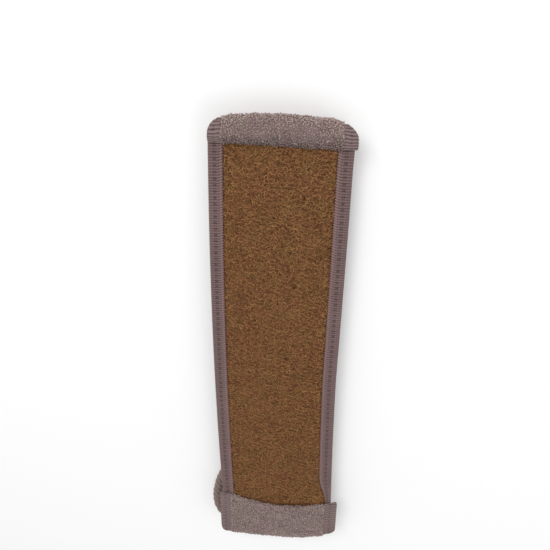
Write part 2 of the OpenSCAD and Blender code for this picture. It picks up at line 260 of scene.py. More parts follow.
def evenly(path, step):
    """The path again with points an even step apart, by straight interpolation along its length."""
    along = np.concatenate([[0], np.cumsum(np.linalg.norm(np.diff(path, axis=0), axis=1))])
    at = np.linspace(0, along[-1], max(3, int(round(along[-1] / step)) + 1))
    return np.stack([np.interp(at, along, column) for column in path.T], axis=1), at


def axes_along(path, reference):
    """Two directions square to a path: the first is square to a reference too, and the second to the first."""
    heading = unit(np.gradient(path, axis=-2))
    side = unit(np.cross(heading, np.broadcast_to(reference, path.shape)))
    return side, np.cross(side, heading)


def left_of(line):
    """Normals of a line in a plane, a quarter turn to the left of its headings."""
    heading = unit(np.gradient(line, axis=0))
    return np.stack([-heading[:, 1], heading[:, 0]], axis=1)


def skin(index):
    """Quads over rings of points that follow each other: each joins two neighbours of one ring to those of the next."""
    turned = np.roll(index, -1, axis=-1)
    corners = [index[..., :-1, :], turned[..., :-1, :], turned[..., 1:, :], index[..., 1:, :]]
    return np.stack(corners, axis=-1).reshape(-1, 4)


def loft(rows):
    """A closed section carried along rows: rows is (rows, points, 3), closed in points. A cap is one flat face."""
    index = np.arange(rows[..., 0].size).reshape(rows.shape[:2])
    caps = np.stack([index[0, ::-1], index[-1]])
    return rows.reshape(-1, 3), [skin(index), caps]


def tubes(paths, radius, sides, reference=UP):
    """Many closed tubes at once: paths is (tubes, points, 3) and radius is one number, or one for each point.

    Each ring is a circle square to its path.
    """
    number, count = paths.shape[:2]
    side, rise = axes_along(paths, reference)
    turn = np.arange(sides) * 2 * np.pi / sides
    ring = np.cos(turn)[:, None] * side[:, :, None, :] + np.sin(turn)[:, None] * rise[:, :, None, :]
    radius = np.broadcast_to(np.asarray(radius, float), (number, count))
    points = paths[:, :, None, :] + radius[:, :, None, None] * ring
    index = np.arange(number * count * sides).reshape(number, count, sides)
    fans = [index[:, 0, [0, k + 1, k]] for k in range(1, sides - 1)]
    fans += [index[:, -1, [0, k, k + 1]] for k in range(1, sides - 1)]
    return points.reshape(-1, 3), [skin(index), np.concatenate(fans)]


def outward(points, faces):
    """The faces, turned about if the volume inside them, a sum of triple products of their corners, is negative."""
    volume = 0.0
    for f in faces:
        a, b, c, d = (points[f[:, k % f.shape[1]]] for k in range(4))
        volume += np.einsum("ij,ij->", a, np.cross(b, c))
        volume += np.einsum("ij,ij->", a, np.cross(c, d)) if f.shape[1] == 4 else 0.0
    return faces if volume > 0 else [f[:, ::-1] for f in faces]


def put(name, points, faces, body, material, tint, replaces=()):
    """Makes a mesh object from whole arrays, and says what it rides on, replaces and is finished with."""
    mesh = bpy.data.meshes.new(name)
    faces = outward(points, faces)
    sizes = np.concatenate([np.full(len(f), f.shape[1]) for f in faces])
    corners = np.concatenate([f.ravel() for f in faces])
    mesh.vertices.add(len(points))
    mesh.vertices.foreach_set("co", np.asarray(points, np.float32).ravel())
    mesh.loops.add(len(corners))
    mesh.loops.foreach_set("vertex_index", corners.astype(np.int32))
    mesh.polygons.add(len(sizes))
    mesh.polygons.foreach_set("loop_start", np.concatenate([[0], np.cumsum(sizes)[:-1]]).astype(np.int32))
    mesh.update(calc_edges=True)
    piece = bpy.data.objects.new(name, mesh)
    bpy.context.scene.collection.objects.link(piece)
    dress(piece, body, material, tint, replaces)
    return piece


def carry(name, rows, material, tint, node):
    """A piece of the strap that stands for a node: a section carried along rows.

    The tint is given for the first points of each row. On the others, the hidden side, it is 0.
    """
    points, faces = loft(rows)
    tint = np.pad(tint, ((0, 0), (0, rows.shape[1] - tint.shape[1])))
    return put(name, points, faces, "strap", material, tint.ravel(), [node])


def dress(piece, body, material, tint, replaces=()):
    """Gives a piece smooth shading, its tint, material and body, and hides the solids that it stands for."""
    mesh = piece.data
    mesh.polygons.foreach_set("use_smooth", np.ones(len(mesh.polygons), bool))
    layer = mesh.attributes.new("tint", "FLOAT", "POINT")
    layer.data.foreach_set("value", np.asarray(tint, np.float32))
    mesh.materials.clear()
    mesh.materials.append(material)
    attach(piece, body)
    if replaces:
        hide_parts(*replaces)


def add(tree, kind, inputs=None, **settings):
    """A new shader node with its settings, and its inputs as plain values or links."""
    node = tree.nodes.new(kind)
    for key, value in settings.items():
        setattr(node, key, value)
    for key, value in (inputs or {}).items():
        if isinstance(value, bpy.types.NodeSocket):
            tree.links.new(value, node.inputs[key])
        else:
            node.inputs[key].default_value = value
    return node


def rgba(colour):
    return (*colour, 1.0)


def blank(name, roughness, sheen=0.0):
    """A new node material, its tree, and its shader with the values that are the same all over."""
    material = bpy.data.materials.new(name)
    material.use_nodes = True
    shader = material.node_tree.nodes["Principled BSDF"]
    shader.inputs["Roughness"].default_value = roughness
    shader.inputs["Sheen Weight"].default_value = sheen
    shader.inputs["Sheen Roughness"].default_value = 0.5
    shader.inputs["Specular IOR Level"].default_value = 0.25
    return material, material.node_tree, shader


def fibrous(name, dark, light, grain, patch, spread, drift, roughness, sheen, hue):
    """Yarn or plant fibre: dark to light by the tint on the mesh, with fine grain and slow patches added to it.

    Other slow patches turn its hue a little both ways.
    """
    material, tree, shader = blank(name, roughness, sheen)
    place = add(tree, "ShaderNodeTexCoord").outputs["Object"]
    tint = add(tree, "ShaderNodeAttribute", attribute_name="tint").outputs["Fac"]
    fine = add(tree, "ShaderNodeTexNoise", {"Vector": place, "Scale": grain, "Detail": 3.0}).outputs["Fac"]
    slow = add(tree, "ShaderNodeTexNoise", {"Vector": place, "Scale": patch, "Detail": 2.0}).outputs["Fac"]
    share = add(tree, "ShaderNodeMath", {0: fine, 1: spread, 2: -(spread + drift) / 2}, operation="MULTIPLY_ADD")
    share = add(tree, "ShaderNodeMath", {0: slow, 1: drift, 2: share.outputs[0]}, operation="MULTIPLY_ADD")
    share = add(tree, "ShaderNodeMath", {0: share.outputs[0], 1: tint}, operation="ADD", use_clamp=True)
    colour = add(tree, "ShaderNodeMix", {0: share.outputs[0], 6: rgba(dark), 7: rgba(light)}, data_type="RGBA")
    cast = add(tree, "ShaderNodeTexNoise", {"Vector": place, "Scale": 1.3 * patch, "Detail": 1.0}).outputs["Fac"]
    turn = add(tree, "ShaderNodeMath", {0: cast, 1: hue, 2: 0.5 - hue / 2}, operation="MULTIPLY_ADD")
    colour = add(tree, "ShaderNodeHueSaturation", {"Hue": turn.outputs[0], "Color": colour.outputs[2]})
    relief = add(tree, "ShaderNodeBump", {"Height": fine, "Strength": GRAIN_SHADE, "Distance": GRAIN_DEPTH})
    tree.links.new(colour.outputs["Color"], shader.inputs["Base Color"])
    tree.links.new(relief.outputs["Normal"], shader.inputs["Normal"])
    return material


def finishes(colours):
    """The object's materials by name, made once.

    Each is its dark and light colours, the scales of its grain and patches, how much these two add to the tint, its
    roughness, its sheen and how far its hue turns.
    """
    c = colours
    # Painted light: the cuffs' tape is a paler, bluer copy of the side tape.
    cuff_painted_light = [share * channel for share, channel in zip((1.1, 1.24, 1.26), c.tape_light)]
    recipes = {
        "loofah_fibre": (c.loofah_dark, c.loofah_light, 900, 55, 0.45, 0.10, 0.85, 0.0, 0.035),
        "terry_pile": (c.terry_dark, c.terry_light, 1500, 90, 0.3, 0.3, 0.95, 0.15, 0.07),
        "ribbed_tape": (c.tape_dark, c.tape_light, 1700, 60, 0.3, 0.3, 0.9, 0.15, 0.05),
        "cuff_tape": (c.tape_dark, cuff_painted_light, 1700, 60, 0.3, 0.3, 0.9, 0.15, 0.05),
        "sewing_thread": ([0.6 * v for v in c.thread], c.thread, 2500, 200, 0.4, 0.2, 0.7, 0.0, 0.02),
        "cotton_rope": (c.rope_dark, c.rope_light, 2200, 120, 0.3, 0.3, 0.9, 0.1, 0.02),
        "foam_cells": ([0.7 * v for v in c.foam], c.foam, 2400, 40, 0.6, 0.2, 0.95, 0.0, 0.02),
        "waxed_thread": (c.rope_dark, c.foam, 2500, 200, 0.4, 0.2, 0.6, 0.0, 0.02),
    }
    for name, recipe in recipes.items():
        if name not in bpy.data.materials:
            fibrous(name, *recipe)
    return {name: bpy.data.materials[name] for name in recipes}


def stand_camera():
    """Puts the camera at its eye, aimed and rolled, with the strap's far end at the top of the picture."""
    forward = (Vector(AIM) - Vector(EYE)).normalized()
    right = forward.cross(Vector((0, 1, 0))).normalized()
    turn = Matrix((right, right.cross(forward), -forward)).transposed()
    data = bpy.data.cameras.new("camera")
    data.lens = LENS
    data.sensor_width = 36
    data.clip_start = 0.02
    camera = bpy.data.objects.new("camera", data)
    camera.matrix_world = Matrix.Translation(EYE) @ turn.to_4x4() @ Matrix.Rotation(ROLL, 4, "Z")
    bpy.context.scene.collection.objects.link(camera)
    bpy.context.scene.camera = camera


def hang_light(name, place, size, power):
    """A square soft light at a place, turned to the strap's middle."""
    data = bpy.data.lights.new(name, "AREA")
    data.size = size
    data.energy = power
    light = bpy.data.objects.new(name, data)
    light.location = place
    light.rotation_euler = (-Vector(place)).to_track_quat("-Z", "Y").to_euler()
    bpy.context.scene.collection.objects.link(light)


def where_seen(tree, more, base):
    """A strength: its base, and more where it is seen directly, mirrored or through glass."""
    ray = add(tree, "ShaderNodeLightPath").outputs
    seen = add(tree, "ShaderNodeMath", {0: ray["Is Camera Ray"], 1: ray["Is Glossy Ray"]}, operation="ADD")
    seen = add(tree, "ShaderNodeMath", {0: seen.outputs[0], 1: ray["Is Transmission Ray"]}, operation="ADD")
    return add(tree, "ShaderNodeMath", {0: seen.outputs[0], 1: more, 2: base}, operation="MULTIPLY_ADD").outputs[0]


def paper(colour):
    """White paper: its plain colour, to which a faint glow is added where it is seen directly or mirrored."""
    material, tree, shader = blank("floor_paper", 0.9)
    shader.inputs["Base Color"].default_value = rgba(colour)
    shader.inputs["Emission Color"].default_value = (1, 1, 1, 1)
    tree.links.new(where_seen(tree, PAPER_GLOW, 0.0), shader.inputs["Emission Strength"])
    return material


def set_stage(colours):
    """Camera, soft lights, an even pale surround, and a floor of one square."""
    scene = bpy.context.scene
    scene.view_settings.view_transform = "Standard"
    stand_camera()
    for name, light in LIGHTS.items():
        hang_light(name, *light)
    world = bpy.data.worlds.new("surround")
    world.use_nodes = True
    sky = world.node_tree.nodes["Background"]
    sky.inputs["Color"].default_value = (1, 1, 1, 1)
    world.node_tree.links.new(where_seen(world.node_tree, SKY_GLOW, SKY_LIGHT), sky.inputs["Strength"])
    scene.world = world
    mesh = bpy.data.meshes.new("floor")
    corners = np.array([(-1, -1, 0), (1, -1, 0), (1, 1, 0), (-1, 1, 0)]) * FLOOR_HALF
    mesh.from_pydata(corners.tolist(), [], [(0, 1, 2, 3)])
    floor = bpy.data.objects.new("floor", mesh)
    mesh.materials.append(paper(colours.floor))
    scene.collection.objects.link(floor)


def laid_rope(path, sizes, reach):
    """Three strands twisted together, as one closed tube whose strands reach that share of the rope's radius.

    Seen end on, a strand's edge is a circle set off from the middle, so the tube's radius at an angle from the
    nearest strand is offset times cosine plus the root of (strand radius squared less offset sine squared). The
    three lobes turn once in each lay, and the yarns in a strand are small waves that turn the other way. Outside the
    channel the rope lies a little flattened, wider than it is high, with an eased start.
    """
    path, along = evenly(path, ROPE_STEP)
    radius = reach * sizes.rope_diameter / 2
    offset, strand = STRAND_OFF * radius, STRAND_R * radius
    side, rise = axes_along(path, UP)
    turn = np.arange(ROPE_SIDES) * 2 * np.pi / ROPE_SIDES
    twist = 2 * np.pi * along[:, None] / sizes.rope_lay
    lobe = (turn[None, :] - twist + np.pi / 3) % (2 * np.pi / 3) - np.pi / 3
    edge = offset * np.cos(lobe) + np.sqrt(strand ** 2 - (offset * np.sin(lobe)) ** 2)
    yarn = np.cos(10 * lobe + 2 * np.pi * along[:, None] / YARN_LAY) * np.cos(1.3 * lobe)
    out = (edge + YARN_HEIGHT * radius * yarn)[..., None]
    loose = ease((np.minimum(along, along[-1] - along) - LOOSE_FROM) / LOOSE_RUN)[:, None, None]
    rows = path[:, None, :] + out * (
        np.cos(turn)[None, :, None] * side[:, None, :] * (1 + ROPE_WIDER * loose)
        + np.sin(turn)[None, :, None] * rise[:, None, :] * (1 - ROPE_LOWER * loose))
    points, faces = loft(rows)
    # Painted shade: the rope is darker in the grooves between its strands and lighter on their crowns and on the yarns'
    # crests. The mottle is its own uneven colour.
    depth = np.clip((edge / radius - 0.6) / 0.4, 0, 1) ** 0.7
    mottle = 0.16 * ripple(rows[..., 0] + rows[..., 2], rows[..., 1], MOTTLE_WAVE, SEED + 13)
    return points, faces, (0.42 + 0.42 * depth + 0.14 * yarn + mottle).ravel()


def wind_whipping(end, material):
    """The whipping that joins a rope's ends: one flat thread wound side by side round the rope.

    An ellipse is carried along a helix. It goes once round the rope for each thread's width along the channel, and its
    outer side keeps to the radius of the solid that it stands for.
    """
    node = end + "_rope_whipping"
    low, high = (np.array(corner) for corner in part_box(node))
    wide, thick = WHIPPING_WIDE, WHIPPING_THICK
    turns = round((high[0] - low[0]) / wide) - 1
    angle = np.linspace(0, 2 * np.pi * turns, 20 * turns)[:, None]
    round_thread = np.arange(6) * np.pi / 3
    along = wide * (angle / (2 * np.pi) - turns / 2 + 0.48 * np.cos(round_thread))
    out = (high[2] - low[2]) / 2 - thick / 2 * (1 - np.sin(round_thread))
    points, faces = loft((low + high) / 2 + np.stack([along, out * np.cos(angle), out * np.sin(angle)], axis=-1))
    # Painted shade: the thread is lighter on its outer side and darker on its inner side against the rope.
    tint = np.tile(0.5 + 0.3 * np.sin(round_thread), len(angle))
    return put(end + "_whipping_thread", points, faces, end + "_handle", material, tint, [node])


def run_rope(end, sizes, material, thread):
    """One handle: the loop that shows, the stretch inside the channel that closes it, and its whipping.

    The whipping draws the closed stretch in.
    """
    body = end + "_handle"
    axis = CHANNEL[body]
    path = smooth_path(axis + np.array(ROUTES[end]) * [1, -ENDS[end], 1], 12)
    points, faces, tint = laid_rope(path, sizes, ROPE_REACH)
    loop = put(end + "_rope_loop", points, faces, body, material, tint, replaces=[end + "_rope"])
    middle = axis + np.linspace(INSIDE, -INSIDE, 61)[:, None] * np.array([1.0, 0.0, 0.0])
    points, faces, tint = laid_rope(middle, sizes, CORE_REACH)
    core = put(end + "_rope_core", points, faces, body, material, tint)
    wind_whipping(end, thread)


def lay_pad(points):
    """The pad's points, drawn about its own middle, as they lie.

    The pad curves a little as a parabola along its length, so that its ends lie to the right of its middle. By the
    deep hem the face of the right tape is drawn aside, as a rise and fall across it with an eased start, and its side
    swells out as a parabola above the middle.
    """
    x, y, z = np.moveaxis(points, -1, 0)
    curve = PAD_CURVE * ((np.clip(y, CURVE_LOW, PAD_END) - CURVE_FOOT) / CURVE_RUN) ** 2 - PAD_SET_BACK
    across = np.clip(np.minimum((x - 0.030) / 0.020, (0.060 - x) / 0.010), 0, 1)
    aside = TAPE_ASIDE * ease((ASIDE_FROM - y) / ASIDE_RUN) * across * (z > PAD_TOP - 3 * MM)
    swell = TAPE_SWELL * np.clip(x / LIP_X, 0, 1) ** 2 * np.clip(1 - ((y - SWELL_AT) / SWELL_HALF) ** 2, 0, 1)
    return points + PAD_PLACE + (curve + aside + swell)[..., None] * np.array([1.0, 0.0, 0.0])


def crown(x, y):
    """Height of the loofah's face: flat beside the tapes and hems, and a parabola across with eased slopes along."""
    half = LIP_X - 0.3 * MM
    rise = LOOFAH_HIGH[2] - PAD_TOP
    run = 24 * MM
    along = 0.6 + 0.4 * np.minimum(ease((y - FRONT_EDGE["bottom"]) / run), ease((FRONT_EDGE["top"] - y) / run))
    return PAD_TOP + rise * np.clip(1 - (x / half) ** 2, 0, 1) * along


def lay_loofah(sizes, material):
    """The loofah's face: a matted net with two layers of loose fibres on it.

    The net's strands are where either of two noises is near zero, lines that curl and meet, and they stand above the
    pits between them by a straight fall from each line. The crown carries them.
    """
    half, reach = LIP_X - 0.2 * MM, PAD_END
    y = np.linspace(-reach, reach, 650)[:, None]
    x = np.linspace(half, -half, 140)[None, :]
    first, second = (np.clip(1 - np.abs(ripple(x, y, sizes.net_wave, SEED + k)) / NET_HALF, 0, 1) for k in (0, 1))
    net = np.maximum(first, 0.8 * second)
    top = crown(x, y) - MAT_DEPTH + NET_HEIGHT * net
    low = LOOFAH_LOW[2]
    wide = LOOFAH_HIGH[0] + 0.6 * MM
    lip = PAD_TOP - sizes.tape_thickness
    edge_x = np.array([[-half, -wide, -wide, wide, wide, half]])
    edge_z = np.array([[lip, lip, low, low, lip, lip]])
    rows = np.concatenate([spots(x, y, top), spots(edge_x, y, edge_z)], axis=1)
    # Painted shade: the pits between the net's strands are darker than the strands, and the face darkens within 3 mm of
    # the tapes' lips as their painted shadow. The ripple is the loofah's own uneven colour.
    tint = (0.05 + 0.30 * net + 0.12 * ripple(x, y, MOTTLE_WAVE, SEED + 2)) * ease((LIP_X - np.abs(x)) / (3 * MM))
    mat = carry("loofah_mat", lay_pad(rows), material, tint, "loofah_panel")
    # Painted shade: the lower layer of fibres is darker than the upper one.
    for layer, (lift, shade, thick) in enumerate(((-0.35, 0.34, 1.1), (0.05, 0.86, 0.8))):
        scatter_fibres(f"loofah_fibres_{layer + 1}", sizes, lift * MM, shade, thick, SEED + 20 + layer, material)


def scatter_fibres(name, sizes, lift, shade, thick, seed, material):
    """A layer of loose fibres.

    Their middles are spread evenly, by stepping each way round the face by a fixed share of it and wrapping, and stray
    a little. A fibre's heading swings as it goes: a start, a steady turn and a sine are added, and the steps are
    summed. Its height follows the crown, waves a little, and dips at both ends so that they lie in the mat.
    """
    rng = np.random.default_rng(seed)
    number, count = sizes.fibre_count, 6
    half, low, high = LIP_X - 1.3 * MM, FRONT_EDGE["bottom"] - 2 * MM, FRONT_EDGE["top"] + 2 * MM
    length = sizes.fibre_length * rng.uniform(0.5, 1.3, (number, 1))
    t = np.linspace(0, 1, count)[None, :]
    turn = rng.normal(0, 2.3, (number, 1))
    swing = rng.normal(0, 0.6, (number, 1)) * np.sin(2 * np.pi * t * rng.uniform(0.6, 1.8, (number, 1))
                                                    + rng.uniform(0, 6.28, (number, 1)))
    heading = rng.normal(0, 0.7, (number, 1)) + turn * (t - 0.5) + swing
    step = length / (count - 1)
    x = np.cumsum(np.cos(heading) * step, axis=1)
    y = np.cumsum(np.sin(heading) * step, axis=1)
    even = (rng.uniform(0, 1, 2) + np.arange(number)[:, None] * EVEN_STEPS) % 1
    stray = rng.uniform(-FIBRE_STRAY, FIBRE_STRAY, (number, 2)) * MM
    x += 2 * half * even[:, :1] - half + stray[:, :1] - x.mean(axis=1, keepdims=True)
    y += low + (high - low) * even[:, 1:] + stray[:, 1:] - y.mean(axis=1, keepdims=True)
    x = np.clip(x, -half, half)
    y = np.clip(y, low, high)
    wave = FIBRE_WAVE * np.sin(2 * np.pi * t * rng.uniform(1.0, 2.5, (number, 1)) + rng.uniform(0, 6.28, (number, 1)))
    dip = FIBRE_DIP * (np.abs(2 * t - 1) ** 4)
    radius = thick * sizes.fibre_radius * rng.uniform(0.6, 1.25, (number, 1)) * (1 - 0.45 * np.abs(2 * t - 1) ** 3)
    z = crown(x, y) + lift + wave - dip
    points, faces = tubes(np.stack([x, y, z], axis=-1), radius, FIBRE_SIDES)
    # Painted light and painted shade: a fibre is lighter where its wave rises and darker where its ends dip into the
    # mat. The random spread is its own colour.
    tint = shade + rng.normal(0, 0.18, (number, 1)) + 0.1 * wave / FIBRE_WAVE - 0.2 * dip / MM
    put(name, lay_pad(points), faces, "strap", material, np.repeat(tint.ravel(), FIBRE_SIDES))


def stack_layers(sizes, finish):
    """Foam and terry back, as sections carried along the strap.

    The foam is round-edged. The terry is bowed down as a parabola, and its ends are turned up over the foam's.
    """
    fill = 1.2 * MM
    y = np.linspace(-PAD_END + 1.6 * MM, PAD_END - 1.6 * MM, 221)
    turn = np.linspace(-np.pi / 2, np.pi / 2, 9)
    thick = FOAM_HIGH[2] - FOAM_LOW[2]
    middle = (FOAM_HIGH[2] + FOAM_LOW[2]) / 2
    wide = FOAM_HIGH[0] + fill
    right = np.stack([wide - thick / 2 + thick / 2 * np.cos(turn), middle + thick / 2 * np.sin(turn)], axis=1)
    ring = np.concatenate([right, right[::-1] * [-1, 1]])
    rows = lay_pad(spots(ring[None, :, 0], y[:, None], ring[None, :, 1]))
    foam = carry("foam_sheet", rows, finish["foam_cells"], np.full(rows.shape[:2], 0.6), "foam_layer")

    half = LIP_X - 0.3 * MM
    edge_z = PAD_LOW + sizes.tape_thickness
    wide = BACK_HIGH[0] + fill / 2
    x = np.linspace(-wide, wide, 97)
    y = np.linspace(-PAD_END, PAD_END, 401)
    turned = np.where(np.abs(y) > PAD_END - 1.5 * MM, FOAM_HIGH[2], BACK_HIGH[2])[:, None]
    bow = np.clip(1 - (x / half) ** 2, 0, None)[None, :]
    ground = edge_z - (edge_z - BACK_LOW[2]) * bow + 0.25 * MM * ripple(x[None, :], y[:, None], 0.012, SEED + 3) * bow
    lid = spots(np.array([[wide, -wide]]), y[:, None], turned)
    rows = lay_pad(np.concatenate([spots(x[None, :], y[:, None], ground), lid], axis=1))
    tint = np.full(rows.shape[:2], GROUND_TINT)
    back = carry("terry_ground", rows, finish["terry_pile"], tint, "terry_back")
    rng = np.random.default_rng(SEED + 4)
    pitch = 1.4 * sizes.loop_spacing
    grid_x, grid_y = np.meshgrid(np.arange(-half, half, pitch), np.arange(-BACK_EDGE, BACK_EDGE, pitch))
    base = np.stack([grid_x.ravel(), grid_y.ravel(), np.zeros(grid_x.size)], axis=1)
    base[:, :2] += rng.uniform(-0.4, 0.4, (len(base), 2)) * pitch
    base = base[np.abs(base[:, 0]) < half]
    base[:, 2] = edge_z - (edge_z - BACK_LOW[2]) * (1 - (base[:, 0] / half) ** 2) + 0.2 * MM
    down = np.broadcast_to([0.0, 0.0, -1.0], base.shape)
    for part, keep in (("low", base[:, 1] < 0), ("high", base[:, 1] >= 0)):
        raise_pile(f"terry_pile_{part}", lay_pad(base[keep]), down[keep], 0.8 * sizes.loop_height, LOOP_TINT,
                   sizes, finish, rng)


def raise_pile(name, base, normal, height, shade, sizes, finish, rng):
    """Terry loops: each goes up from the ground, leans, and comes back down beside its start, as a sine arch."""
    number = len(base)
    any_way = rng.normal(0, 1, (number, 3))
    across = unit(any_way - normal * np.sum(any_way * normal, axis=1, keepdims=True))
    lean = np.cross(normal, across) * rng.normal(0, 0.45, (number, 1))
    t = np.linspace(0, 1, 6)[None, :, None]
    tall = height * rng.uniform(0.65, 1.2, (number, 1, 1))
    wide = 0.8 * sizes.loop_spacing * rng.uniform(0.7, 1.3, (number, 1, 1))
    arch = np.sin(np.pi * t)
    paths = (base[:, None, :] + across[:, None, :] * (t - 0.5) * wide * (1 + 0.6 * arch)
             + (normal + lean)[:, None, :] * arch * tall)
    paths[..., 2] = np.maximum(paths[..., 2], 1.2 * sizes.loop_radius)
    points, faces = tubes(paths, sizes.loop_radius * rng.uniform(0.8, 1.2, (number, 1)), FIBRE_SIDES,
                          np.cross(across, normal)[:, None, :])
    # Painted light and painted shade: a loop is lighter towards its top and darker at its feet by the ground. The
    # random spread is its own colour.
    tint = shade + 0.5 * arch[..., 0] + rng.normal(0, 0.2, (number, 1))
    put(name, points, faces, "strap", finish["terry_pile"], np.repeat(tint.ravel(), FIBRE_SIDES))


def ribs(along, slant, sizes):
    """The tape's ribs: the size of a sine to a power, so that bars and the lines between them are about as broad."""
    return np.abs(np.sin(np.pi * (along / sizes.rib_pitch + slant))) ** 1.1


def gaps(low, high, sizes):
    """How many gaps a row of stitches has between its ends."""
    return math.floor((high - low - sizes.stitch_length) / sizes.stitch_pitch)


def holes(along, low, high, sizes):
    """Where a row of stitches is drawn in: a bell curve of 1 midway between two stitches, and 0 past the row's ends."""
    step = (along - (low + high) / 2) / sizes.stitch_pitch + gaps(low, high, sizes) / 2 - 0.5
    near = np.abs(step - np.round(step)) * sizes.stitch_pitch
    return np.exp(-(near / HOLE_HALF) ** 2) * ((along > low) & (along < high))


def bind_edge(name, sizes, material):
    """Tape folded round one edge of the pad.

    Its section is a flat, a quarter circle, the edge, a quarter circle and a flat, and the inner face is the same
    line set in by the tape's thickness. Ribs, a sunk sewing line and its holes move the outer face along its normal,
    and a cosine across parts each rib into columns.
    """
    bend = sizes.tape_thickness + 1.6 * MM
    flat = np.linspace(LIP_X, PAD_X - bend, 18)
    curve = np.linspace(np.pi / 2, 0, 7)[1:]
    upright = np.linspace(PAD_TOP - bend, PAD_LOW + bend, 8)[1:]
    fold = np.linspace(0, np.pi / 2, 7)[1:]
    x = np.concatenate([flat, PAD_X - bend + bend * np.cos(curve), np.full(len(upright), PAD_X),
                        PAD_X - bend + bend * np.cos(fold), flat[::-1][1:]])
    z = np.concatenate([np.full(len(flat), PAD_TOP), PAD_TOP - bend + bend * np.sin(curve), upright,
                        PAD_LOW + bend - bend * np.sin(fold), np.full(len(flat) - 1, PAD_LOW)])
    line = np.stack([x, z], axis=1)
    normal = left_of(line)
    y = np.linspace(-PAD_END, PAD_END, int(2 * PAD_END / (sizes.rib_pitch / 5)))[:, None]
    off = (x - SEAM_X)[None, :]
    upper = (z > (PAD_TOP + PAD_LOW) / 2)[None, :]
    inner = np.clip(-off, 0, None) / (SEAM_X - LIP_X)
    bar = ribs(y, 0.2 * inner - 0.7 * inner ** 2 + 0.15 * ripple(y, 0 * y, 0.03, SEED + 5), sizes)
    bar = bar * (0.87 + 0.13 * np.cos(2 * np.pi * off / COLUMN_PITCH))
    row = np.where(upper, holes(y, FRONT_EDGE["bottom"], FRONT_EDGE["top"], sizes),
                   holes(y, -BACK_EDGE, BACK_EDGE, sizes))
    near = np.exp(-(off / SEAM_HALF) ** 2) * (np.abs(z - (PAD_TOP + PAD_LOW) / 2) > 5 * MM)[None, :]
    swell = np.cos(np.pi * np.clip(np.abs(off) / (PAD_X - LIP_X) * 2 - 0.5, -0.5, 0.5))
    relief = sizes.rib_height * (bar - 0.55) + 0.35 * MM * swell - near * (SEAM_DEPTH + 0.7 * MM * row)
    scallop = np.zeros(len(line))
    scallop[[0, -1]] = 1
    outer_x = x[None, :] + normal[None, :, 0] * relief - 1.0 * MM * bar * scallop[None, :]
    outer_z = z[None, :] + normal[None, :, 1] * relief - 0.35 * MM * scallop[None, :] * np.sign(normal[None, :, 1])
    back = line[::-4] - sizes.tape_thickness * normal[::-4]
    rows = np.concatenate([spots(outer_x, y, outer_z), spots(back[None, :, 0], y, back[None, :, 1])], axis=1)
    rows[..., 0] *= SIDES[name]
    lip = np.exp(-((x - LIP_X) / (1.6 * MM)) ** 2)[None, :]
    # Painted shade: the tape is darker in the lines between its ribs, along the sunk sewing line and most in its holes.
    # Its inner lip is lighter.
    tint = np.clip(0.85 * bar - 0.08 * near - 1.0 * near * row + 0.8 * lip * bar, -0.6, 1.4)
    carry(name + "_tape", lay_pad(rows), material, tint, name + "_binding")


def drape(end, across, inward, height):
    """How the soft hem lies.

    In plan, its round corners are squared up by dividing a point's distance from a corner's centre by the sum of its
    cosine and sine to a power, rooted again. The shallow hem's outer edge bows as a parabola and its free edge is drawn
    back evenly to the left. The deep hem's outer edge is drawn in as a cubic to each side, its free edge bows as a
    parabola, and its right end flares out as another. The front layer rises as parabolas too, across the deep hem, and
    to and fro over the shallow one, as on a roll.
    """
    corner = CORNER_R
    power = np.where((end == "top") | (across < 0), 3.0, 2.2)
    out = np.clip(np.abs(across) - CUFF_OUT + corner, 0, None)
    on = np.clip(corner - ROLL_R - inward, 0, None)
    far = np.maximum(np.hypot(out, on), 1e-9)
    total = (out / far) ** power + (on / far) ** power
    square = np.where(total > 0, total, 1) ** (-1 / power) - 1
    inward = inward - on * square
    share = np.clip(np.abs(across) / CUFF_OUT, 0, 1) ** 2
    above = ease((height - ROLL_Z - 3.5 * MM) / (9 * MM))
    if end == "top":
        roll = 14 * MM
        outer = ease((6 * MM - inward) / roll)
        pull = TOP_BOW * (np.minimum(((across + 6 * MM) / CUFF_OUT) ** 2, 1) - 1) * outer * above
        slack = TOP_SLACK * ease((inward - 1 * MM) / (10 * MM)) * np.clip((50 * MM - across) / (70 * MM), 0, 1)
        rise = TOP_BULGE * np.clip(1 - ((inward + 2 * MM) / roll) ** 2, 0, 1) * (1 - 0.45 * share)
        across = 0.965 * (across + np.sign(across) * out * square)
    else:
        outer = ease((20 * MM - inward) / (30 * MM))
        peak = -14 * MM
        side = (across - peak) / np.where(across > peak, 80 * MM, 52 * MM)
        pull = (1.0 + np.where(side > 0, 16.0, -2.0) * side ** 3) * MM * outer * above
        bow = DEEP_BOW - DEEP_FALL * np.minimum(((across - 6 * MM) / (54 * MM)) ** 2, 1.15)
        slack = bow * ease((inward - 26 * MM) / (24 * MM))
        rise = DEEP_RISE * (1 - share) * (1 - 0.8 * outer)
        across = across + np.sign(across) * out * square
        across = across + DEEP_FLARE * np.clip(across / CUFF_OUT, 0, 1) ** 2 * above
    return across, inward + pull - slack, height + rise * above


def hem_place(end, across, inward, height):
    """Points of a hem, given across it, inward from the channel's axis, and above the floor, as they lie."""
    across, inward, height = drape(end, *np.broadcast_arrays(across, inward, height))
    return spots(across, ENDS[end] * (ROLL_Y - inward), height)


